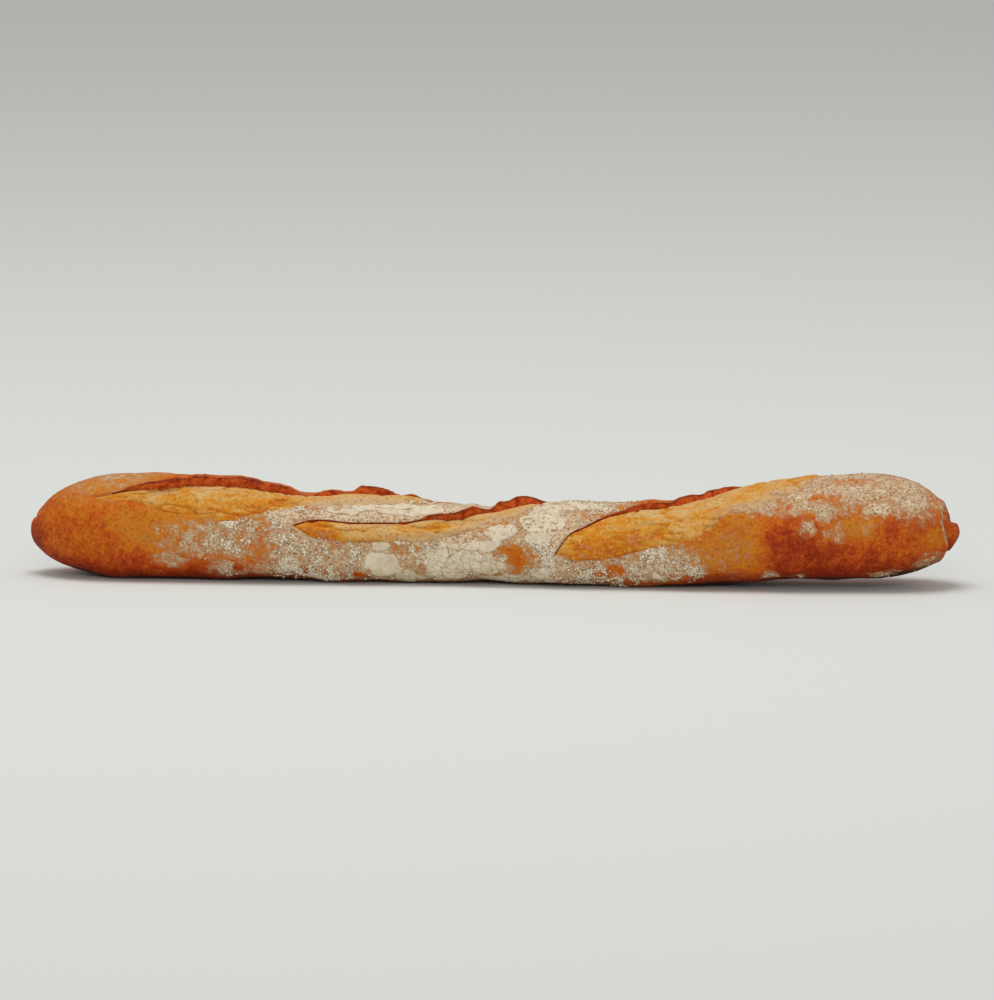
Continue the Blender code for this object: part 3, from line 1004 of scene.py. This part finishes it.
@dataclass
class Crust:
    """The whole baked skin as one closed surface."""
    form: LoafForm
    relief: Relief
    dressing: Dressing
    left_rings: int = 72
    body_rings: int = 478
    right_rings: int = 66
    around: int = 160

    def places(self) -> Grid:
        """Return the rings' places: even along the body, by the sine over each end."""
        half = self.form.length / 2
        left = np.arange(self.left_rings, 0, -1) / (self.left_rings + 0.5) * math.pi / 2
        right = np.arange(1, self.right_rings + 1) / (self.right_rings + 0.5) * math.pi / 2
        body = np.linspace(-half + self.form.left_taper, half - self.form.right_taper,
                           self.body_rings)
        return np.concatenate([
            -half + self.form.left_taper * (1 - np.sin(left)), body,
            half - self.form.right_taper * (1 - np.sin(right))])

    def angles(self) -> Grid:
        """Return the angles round a ring, closer together on the front and the top."""
        fine = np.linspace(-90, 270, 721)
        weight = 1 + 0.9 * ramp(-75, -45, fine) * ramp(130, 100, fine)
        total = np.concatenate([[0], np.cumsum((weight[1:] + weight[:-1]) / 2)])
        return np.interp(np.arange(self.around) / self.around * total[-1], total, fine)

    def build(self, material: bpy.types.Material) -> bpy.types.Object:
        """Raise the smooth loaf by its relief and close the two tips."""
        x = self.places()[:, None]
        angle = self.angles()[None, :]
        smooth = self.form.skin(x, angle)
        along = np.gradient(smooth, axis=0)
        around = np.roll(smooth, -1, axis=1) - np.roll(smooth, 1, axis=1)
        out = np.cross(along, around)
        out /= np.maximum(np.linalg.norm(out, axis=-1, keepdims=True), 1e-12)
        x, angle = np.broadcast_arrays(x, angle)
        points = smooth + out * self.relief.skin_height(x, angle, smooth)[..., None]
        points[..., 2] = np.maximum(points[..., 2], 0.0)
        values = {"bake": self.dressing.bake(x, angle, smooth),
                  "dust_and_highlight": self.dressing.dust_and_highlight(x, angle, smooth),
                  "sole_and_shade": self.dressing.sole_and_shade(x, angle),
                  "torn": np.zeros(x.shape), "crest": np.zeros(x.shape),
                  "seam_shade": np.zeros(x.shape)}
        ends = []
        for ring in (points[0], points[-1]):
            middle = ring.mean(axis=0)
            middle[0] += math.copysign(0.3 * MM, middle[0])
            ends.append(middle)
        return closed_tube("crust", points, (ends[0], ends[1]), values, material)


@dataclass
class OpenedDough:
    """The dough that shows in one cut, as a closed pad sunk into the crust."""
    form: LoafForm
    slash: Slash
    step: float = 0.5 * MM
    across: int = 64
    returns: int = 5

    def build(self, material: bpy.types.Material) -> bpy.types.Object:
        """Lay the pad from under the lower lip up to the foot of the ear.

        Over the way a across, 0 at the ear and 1 at the lip, its height is a half sine
        less a deep groove by the ear and a shallow one by the lip, with drawn-out ridges
        and small pores. Its underside comes back 5 mm lower. Flour thickens on it from
        just above half way down to the lip.
        """
        first, last = self.slash.ends
        x = np.arange(first + 1 * MM, last - 1 * MM, self.step)[:, None]
        a = np.linspace(1.08, -0.05, self.across)[None, :]
        foot, lower = self.slash.foot(x), self.slash.lower(x)
        angle = foot - (foot - lower) * a
        smooth = self.form.skin(x, angle)
        out = self.form.facing(x, angle)
        x, angle = np.broadcast_arrays(x, angle)
        _, width = self.slash.distance(self.form, x, angle)
        open_by = ramp(2 * MM, 12 * MM, width)
        gap = a * width
        profile = self.slash.swell * np.sin(math.pi * np.clip(a, 0, 1)) ** 0.8 * open_by
        lip = 0.5 * MM * (self.slash.rim > 0)
        groove = -1.9 * MM * bell(gap, 2.2 * MM) - lip * bell(width - gap, 1.5 * MM)
        drawn = smooth * np.array([0.3, 1, 1])
        ridges = 0.6 * MM * layered(drawn, 6 * MM, 3, 71) * open_by
        folded = np.abs(layered(smooth * np.array([0.4, 1, 1]), 8 * MM, 3, 73))
        ridges = ridges - 1.1 * MM * bell(folded, 0.09) * open_by
        lumps = 0.35 * MM * layered(smooth, 3.2 * MM, 3, 77) * open_by
        pores = -0.5 * MM * np.clip(value_noise(drawn / (1.9 * MM), 83) - 0.35, 0, 1)
        height = profile + groove + ridges + lumps + pores - 0.1 * MM
        top = smooth + out * height[..., None]
        back = np.linspace(-0.05, 1.08, self.returns)[None, :]
        under_angle = foot - (foot - lower) * back
        under = (self.form.skin(x[:, :1], under_angle)
                 - self.form.facing(x[:, :1], under_angle) * 5 * MM)
        rings = np.concatenate([top, under], axis=1)
        flat = np.ones_like(under[..., 0])
        tone = through(self.slash.tone, x) + self.slash.deepening * ramp(0.1, 1.0, a)
        tone = tone + 0.25 * bell(folded, 0.09) * open_by
        floury = through(self.slash.floury, x) * ramp(0.45, 1.0, a)
        # deep holds painted shade for the groove by the ear, strongest at the ear's foot.
        values = {"tone": np.concatenate([tone, flat], axis=1),
                  "floury": np.concatenate([floury, flat], axis=1),
                  "deep": np.concatenate([0.75 * bell(gap, 1.3 * MM), flat], axis=1)}
        ends = (rings[0].mean(axis=0), rings[-1].mean(axis=0))
        return closed_tube("dough_" + self.slash.name, rings, ends, values, material)


@dataclass
class Ear:
    """The torn lip of crust that stands behind one cut."""
    form: LoafForm
    slash: Slash
    relief: Relief
    dressing: Dressing
    step: float = 0.5 * MM
    face: int = 22
    crest: int = 8
    back: int = 30
    returns: int = 6

    def profile(self, height: Grid) -> tuple[Grid, Grid, Grid, Grid, Grid]:
        """Work out the lip's outline for each height.

        From the foot, 1.4 mm in front and 2 mm deep, the torn face climbs to the crest,
        which leans forward by a fifth of the height. A half circle 0.9 mm thick turns
        over the crest. The back falls as a bell and sinks below the skin, and the outline
        returns underneath.

        Args:
            height: ear height for each ring, as a column.

        Returns:
            Distance in front of the foot, height over the skin, how torn each point is, how
            near the crest, and how far the crease under it is darkened as painted shade.
        """
        thick = 0.45 * MM
        t = np.linspace(0, 1, self.face)[None, :]
        lean = 0.20 * height
        face_gap = 1.4 * MM * (1 - t) ** 1.5 + (lean + thick) * t
        face_up = -2.0 * MM + (height - thick + 2.0 * MM) * t
        turn = np.linspace(0, math.pi, self.crest + 2)[None, 1:-1]
        crest_gap = lean + thick * np.cos(turn)
        crest_up = height - thick + thick * np.sin(turn)
        s = np.linspace(0, 1, self.back)[None, :]
        back_gap = lean - thick - (self.relief.ear_back * 1.6 + lean) * s**1.3
        fall = bell(back_gap - lean + thick, self.relief.ear_back)
        back_up = (height - thick) * fall + 0.12 * MM - (0.9 * MM) * s**2
        r = np.linspace(0, 1, self.returns + 2)[None, 1:-1]
        under_gap = back_gap[:, -1:] * (1 - r) + 1.4 * MM * r
        under_up = -3.0 * MM + 0 * under_gap
        gap = np.concatenate([face_gap, crest_gap, back_gap, under_gap], axis=1)
        up = np.concatenate([face_up, crest_up, back_up, under_up], axis=1)
        torn = np.concatenate([ramp(-0.2, 0.1, t) + 0 * face_gap, 1 + 0 * crest_gap,
                               ramp(0.09, 0.01, s) + 0 * back_gap, 1 + 0 * under_gap], axis=1)
        crest = np.concatenate([0.8 * ramp(0.86, 1.0, t) + 0 * face_gap, 0.85 + 0 * crest_gap,
                                0.8 * ramp(0.07, 0.0, s) + 0 * back_gap, 0 * under_gap], axis=1)
        # Painted shade: where the ear is low, its face below the crest, down in the crease, is
        # darkened.
        seam_shade = np.concatenate([ramp(1.0, 0.72, t) + 0 * face_gap, 0 * crest_gap, 0 * back_gap,
                               0 * under_gap], axis=1)
        return gap, up, torn, crest, seam_shade

    def build(self, material: bpy.types.Material) -> bpy.types.Object:
        """Carry the lip's outline along the foot line, ragged along its crest.

        Where the ear is low, or lies past torn_until, its torn face is skinned over and
        only the crease under it shows, darkened as painted shade. That change comes
        between 0.7 and 2.4 mm high.
        """
        places = np.array([p for p, _ in self.slash.ear_height])
        x = np.arange(places[0] + 0.5 * MM, places[-1] - 0.5 * MM, self.step)[:, None]
        line = np.concatenate([x, 0 * x, 0 * x], axis=1)
        height = self.slash.height(x[:, 0])
        height = (height * (1 + 0.16 * layered(line, 5 * MM, 3, 91))
                  + 0.15 * MM * layered(line, 2 * MM, 2, 95))
        gap, up, torn, crest, seam_shade = self.profile(np.maximum(height, 0.05 * MM)[:, None])
        beyond = x[:, 0] - self.slash.torn_until
        tall = ramp(0.7 * MM, 2.4 * MM, height) * ramp(2 * MM, -2 * MM, beyond)
        foot = self.slash.foot(x)
        angle = foot - np.degrees(gap / self.form.radius(x))
        x, angle = np.broadcast_arrays(x, angle)
        smooth = self.form.skin(x, angle)
        rough = smooth + up[..., None] * np.array([0, 0, 1])
        shaken = 0.45 * MM * layered(rough, 3.2 * MM, 3, 97) * torn
        on_back = self.relief.blisters(smooth) * (1 - torn)
        points = smooth + self.form.facing(x, angle) * (up + on_back + 0.5 * shaken)[..., None]
        points[..., 1] -= 0.6 * shaken
        dust_and_highlight = self.dressing.dust_and_highlight(x, angle, smooth)
        torn, crest, seam_shade = torn * tall[:, None], crest * tall[:, None], seam_shade * (1 - tall[:, None])
        values = {"bake": self.dressing.bake(x, angle, smooth) + 0.08,
                  "dust_and_highlight": np.clip(1.25 * dust_and_highlight, 0, 1) * (1 - torn) * (1 - seam_shade),
                  "sole_and_shade": 0 * torn, "torn": torn, "crest": crest, "seam_shade": seam_shade}
        ends = (points[0].mean(axis=0), points[-1].mean(axis=0))
        return closed_tube("ear_" + self.slash.name, points, ends, values, material)


@dataclass
class FlourField:
    """The floured stretch as a fine grid, from which closed flakes are cut."""
    form: LoafForm
    relief: Relief
    dressing: Dressing
    start: float = -0.200
    stop: float = 0.142
    low: float = -62.0
    high: float = 112.0
    along: int = 700
    around: int = 200
    sheet: float = 0.5 * MM

    def __post_init__(self) -> None:
        """Work out the grid's points, outward directions and the skin's height there."""
        x = np.linspace(self.start, self.stop, self.along)[:, None]
        angle = np.linspace(self.low, self.high, self.around)[None, :]
        self.x, self.angle = np.broadcast_arrays(x, angle)
        self.smooth = self.form.skin(self.x, self.angle)
        self.out = self.form.facing(self.x, self.angle)
        self.shut = 1 - self.relief.opening(self.x, self.angle, self.smooth)
        self.skin = self.relief.skin_height(self.x, self.angle, self.smooth)
        flat = np.stack([self.x, np.radians(self.angle) * MEAN_RADIUS], axis=-1)
        self.flat = flat + 0.8 * MM * np.stack([layered(self.smooth, 4 * MM, 2, 111),
                                                layered(self.smooth, 4 * MM, 2, 113)], axis=-1)

    def cut(self, name: str, body: Grid, thick: Grid, white: float,
            material: bpy.types.Material) -> bpy.types.Object:
        """Keep the grid only where flour has body, raise it, and give it an underside.

        Args:
            name: the piece's name.
            body: how solid the flour is, 0 where there is none.
            thick: its thickness over the skin, in metres.
            white: how white the thickest flour is.
            material: its finish.

        Returns:
            The piece.
        """
        height = self.skin + thick - 0.15 * MM * (1 - body)
        points = self.smooth + self.out * height[..., None]
        points[..., 2] = np.maximum(points[..., 2], 0.1 * MM)
        quads = sheet_faces(self.along, self.around, wrap=False)
        quads = quads[(body > 0.02).ravel()[quads].all(axis=1)]
        used, quads = np.unique(quads, return_inverse=True)
        values = {"thick": (white * thick / (0.75 * MM)).ravel()[used]}
        piece = make_piece(name, points.reshape(-1, 3)[used], quads.reshape(-1, 4).tolist(),
                           values, material)
        solid = piece.modifiers.new("sheet", "SOLIDIFY")
        solid.thickness = self.sheet
        solid.offset = -1.0
        return piece

    def plates(self, material: bpy.types.Material) -> bpy.types.Object:
        """Cut the smooth and the crackled flour.

        Both stand where their patches, frayed by noise, pass a level. Smooth flour is an
        even sheet with a few sunk dashes; crackled flour is tiled by paving cells whose
        tiles curl up a little and whose joints drop to the skin.
        """
        fray = 0.55 * layered(self.smooth, 5 * MM, 4, 101)
        smooth, cracked = (
            ramp(0.0, 0.22, self.dressing.cover(patches, self.x, self.angle, self.smooth)
                 * self.shut + fray - 0.62) for patches in (SMOOTH, CRACKLED))
        crack, name = paving(self.flat, 5.0 * MM, 121)
        tiles = ramp(0.03 * MM, 0.26 * MM, crack) * (0.85 + 0.3 * name)
        drawn = self.smooth * np.array([0.25, 1, 1])
        dashes = (ramp(0.30, 0.55, value_noise(drawn / (1.3 * MM), 151)) * (self.x < 0)
                  + ramp(0.25, 0.50, value_noise(self.smooth / (1.5 * MM), 153)) * (self.x > 0))
        dashes = dashes * ramp(15, 35, self.angle)
        even = 1 - 0.8 * dashes
        body = np.maximum(smooth, cracked)
        share = cracked / np.maximum(smooth + cracked, 1e-6)
        clumps = 0.5 + 0.5 * layered(self.smooth, 1.8 * MM, 3, 131)
        thick = body * (0.34 + 0.22 * clumps) * (share * tiles + (1 - share) * even) * MM
        return self.cut("flour_plates", body, thick, 1.0, material)

    def lumps(self, material: bpy.types.Material) -> bpy.types.Object:
        """Cut the lumpy flour.

        Clumps stand where noise 3 mm wide passes a level that sinks as the cover grows.
        Each is made of grains, paving cells 2 mm wide whose joints drop to the skin, and
        some of the grains are left out.
        """
        cover = self.dressing.cover(LUMPED, self.x, self.angle, self.smooth) * self.shut
        noise = (layered(self.smooth, 3.4 * MM, 3, 163)
                 + 0.45 * layered(self.smooth, 9 * MM, 2, 165))
        over = noise - 0.42 + 0.62 * np.clip(cover, -0.5, 1.2)
        crack, name = paving(self.flat, 2.1 * MM, 161)
        notched = 0.10 + 0.90 * ramp(0.0, 0.5 * MM, crack)
        chosen = ramp(0.0, 0.16, over + 0.5 * (name - 0.45)) * ramp(0.05, 0.2, cover)
        thick = chosen * notched * (0.50 + 0.7 * np.clip(over, 0, 0.7) + 0.45 * name) * MM
        body = ramp(0.05 * MM, 0.15 * MM, thick)
        return self.cut("flour_lumps", body, thick, 0.66, material)


@dataclass
class FlourGrains:
    """Loose clumps of flour, small uneven pebbles joined into one piece."""
    form: LoafForm
    relief: Relief
    dressing: Dressing
    count: int = 6000
    smallest: float = 0.22 * MM
    largest: float = 0.75 * MM

    def pebble(self) -> tuple[Grid, NDArray]:
        """Return the points and faces of a ball with twenty flat sides."""
        bpy.ops.mesh.primitive_ico_sphere_add(subdivisions=1, radius=1.0)
        ball = bpy.context.object
        points = np.array([v.co for v in ball.data.vertices])
        faces = np.array([p.vertices for p in ball.data.polygons])
        bpy.data.objects.remove(ball)
        return points, faces

    def build(self, material: bpy.types.Material) -> bpy.types.Object:
        """Scatter the pebbles where flour lies, each squashed and sunk a little."""
        rng = np.random.default_rng(GRAIN_SEED)
        tries = self.count * TRIES_PER_GRAIN
        x = rng.uniform(-0.205, 0.275, tries)
        angle = rng.uniform(-70, 120, tries)
        smooth = self.form.skin(x, angle)
        lumped = np.clip(self.dressing.cover(LUMPED, x, angle, smooth), 0, 1)
        dust_and_highlight = self.dressing.dust_and_highlight(x, angle, smooth)
        wanted = np.clip(0.75 * lumped + 0.40 * ramp(0.2, 0.8, dust_and_highlight), 0, 1)
        wanted *= 1 - self.relief.opening(x, angle, smooth)
        wanted *= ramp(-0.3, 0.5, layered(smooth, 6 * MM, 2, 141)) * (smooth[:, 2] > 2.5 * MM)
        chosen = np.flatnonzero(rng.uniform(0, 1, tries) < wanted)[:self.count]
        x, angle, smooth = x[chosen], angle[chosen], smooth[chosen]
        largest = self.largest * (1 + 0.5 * lumped[chosen])
        size = self.smallest + (largest - self.smallest) * rng.uniform(0, 1, len(x)) ** 2.5
        out = self.form.facing(x, angle)
        height = self.relief.skin_height(x, angle, smooth) + 0.15 * size
        centre = smooth + out * height[:, None]
        ball, faces = self.pebble()
        shape = ball[None] * rng.uniform(0.6, 1.25, (len(x), len(ball), 1))
        shape = shape * rng.uniform(0.7, 1.3, (len(x), 1, 3))
        points = centre[:, None] + shape * size[:, None, None]
        points[..., 2] = np.maximum(points[..., 2], 0.0)
        rows = faces[None] + (np.arange(len(x)) * len(ball))[:, None, None]
        values = {"thick": np.repeat(rng.uniform(0.3, 1.0, len(x)), len(ball))}
        return make_piece("flour_grains", points.reshape(-1, 3), rows.reshape(-1, 3).tolist(),
                          values, material)


# --------------------------------------------------------------------------- studio

@dataclass(frozen=True)
class Studio:
    """The pale floor, soft white light and the camera."""
    azimuth: float = 6.0
    elevation: float = 8.0
    distance: float = 8.0
    view_width: float = 0.6193
    target: tuple[float, float, float] = (0.0016, 0.0, 0.0507)
    floor_size: float = 60.0

    def floor(self) -> None:
        """Lay a plain pale floor that fills the view."""
        half = self.floor_size / 2
        corners = np.array([(-half, -half, 0), (half, -half, 0), (half, half, 0), (-half, half, 0)])
        bench = Bench("floor")
        bench.wire(bench.shader.inputs["Base Color"], tint(219, 221, 216))
        bench.wire(bench.shader.inputs["Roughness"], 0.9)
        bench.wire(bench.shader.inputs["Specular IOR Level"], 0.1)
        floor = make_piece("floor", corners, [[0, 1, 2, 3]], {}, bench.material)

    def sky(self, strength: float) -> None:
        """Fill the scene with even white light."""
        world = bpy.data.worlds.new("studio")
        bpy.context.scene.world = world
        world.use_nodes = True
        background = world.node_tree.nodes["Background"]
        background.inputs["Color"].default_value = (1, 1, 1, 1)
        background.inputs["Strength"].default_value = strength

    def lamp(self, name: str, place: tuple[float, float, float], size: float, power: float) -> None:
        """Hang a square white lamp aimed at the loaf."""
        data = bpy.data.lights.new(name, "AREA")
        data.shape = "SQUARE"
        data.size = size
        data.energy = power
        lamp = bpy.data.objects.new(name, data)
        lamp.location = place
        lamp.rotation_euler = look_angles(place, (0, 0, 0.03))
        bpy.context.scene.collection.objects.link(lamp)

    def camera(self) -> None:
        """Stand the camera back along its line of sight with a long lens."""
        turn, rise = math.radians(self.azimuth), math.radians(self.elevation)
        offset = np.array([math.sin(turn) * math.cos(rise), -math.cos(turn) * math.cos(rise),
                           math.sin(rise)]) * self.distance
        place = np.array(self.target) + offset
        data = bpy.data.cameras.new("camera")
        data.sensor_fit = "HORIZONTAL"
        data.sensor_width = 36.0
        data.lens = 36.0 * self.distance / self.view_width
        data.clip_end = 200.0
        camera = bpy.data.objects.new("camera", data)
        camera.location = place
        camera.rotation_euler = look_angles(tuple(place), self.target)
        bpy.context.scene.collection.objects.link(camera)
        bpy.context.scene.camera = camera

    def build(self) -> None:
        """Set up the whole studio."""
        bpy.context.scene.view_settings.view_transform = "Standard"
        self.floor()
        self.sky(0.48)
        self.lamp("overhead", (-0.3, 0.0, 3.2), 1.8, 53.0)
        self.lamp("front", (0.8, -6.0, 2.2), 2.4, 90.0)
        self.camera()


def look_angles(place: tuple, target: tuple) -> tuple[float, float, float]:
    """Return the rotation that turns something's -Z from a place towards a target."""
    way = np.array(target) - np.array(place)
    flat = math.hypot(way[0], way[1])
    return (math.atan2(flat, -way[2]), 0.0, math.atan2(-way[0], way[1]))


def main() -> None:
    """Build the loaf's pieces in order and report each one."""
    logging.basicConfig(level=logging.INFO, format="%(name)s: %(message)s")
    form = LoafForm()
    relief = Relief(form, SLASHES)
    dressing = Dressing(form)
    crust_finish = CrustFinish().material()
    dough_finish = DoughFinish().material()
    flour_finish = FlourFinish().material()
    pieces = [Crust(form, relief, dressing).build(crust_finish)]
    for slash in SLASHES:
        pieces.append(OpenedDough(form, slash).build(dough_finish))
        pieces.append(Ear(form, slash, relief, dressing).build(crust_finish))
    field = FlourField(form, relief, dressing)
    pieces.append(field.plates(flour_finish))
    pieces.append(field.lumps(flour_finish))
    pieces.append(FlourGrains(form, relief, dressing).build(flour_finish))
    for piece in pieces:
        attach(piece, BODY)
        log.info("%s: %d faces", piece.name, len(piece.data.polygons))
    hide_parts(NODE)
    Studio().build()


if __name__ == "__main__":
    main()
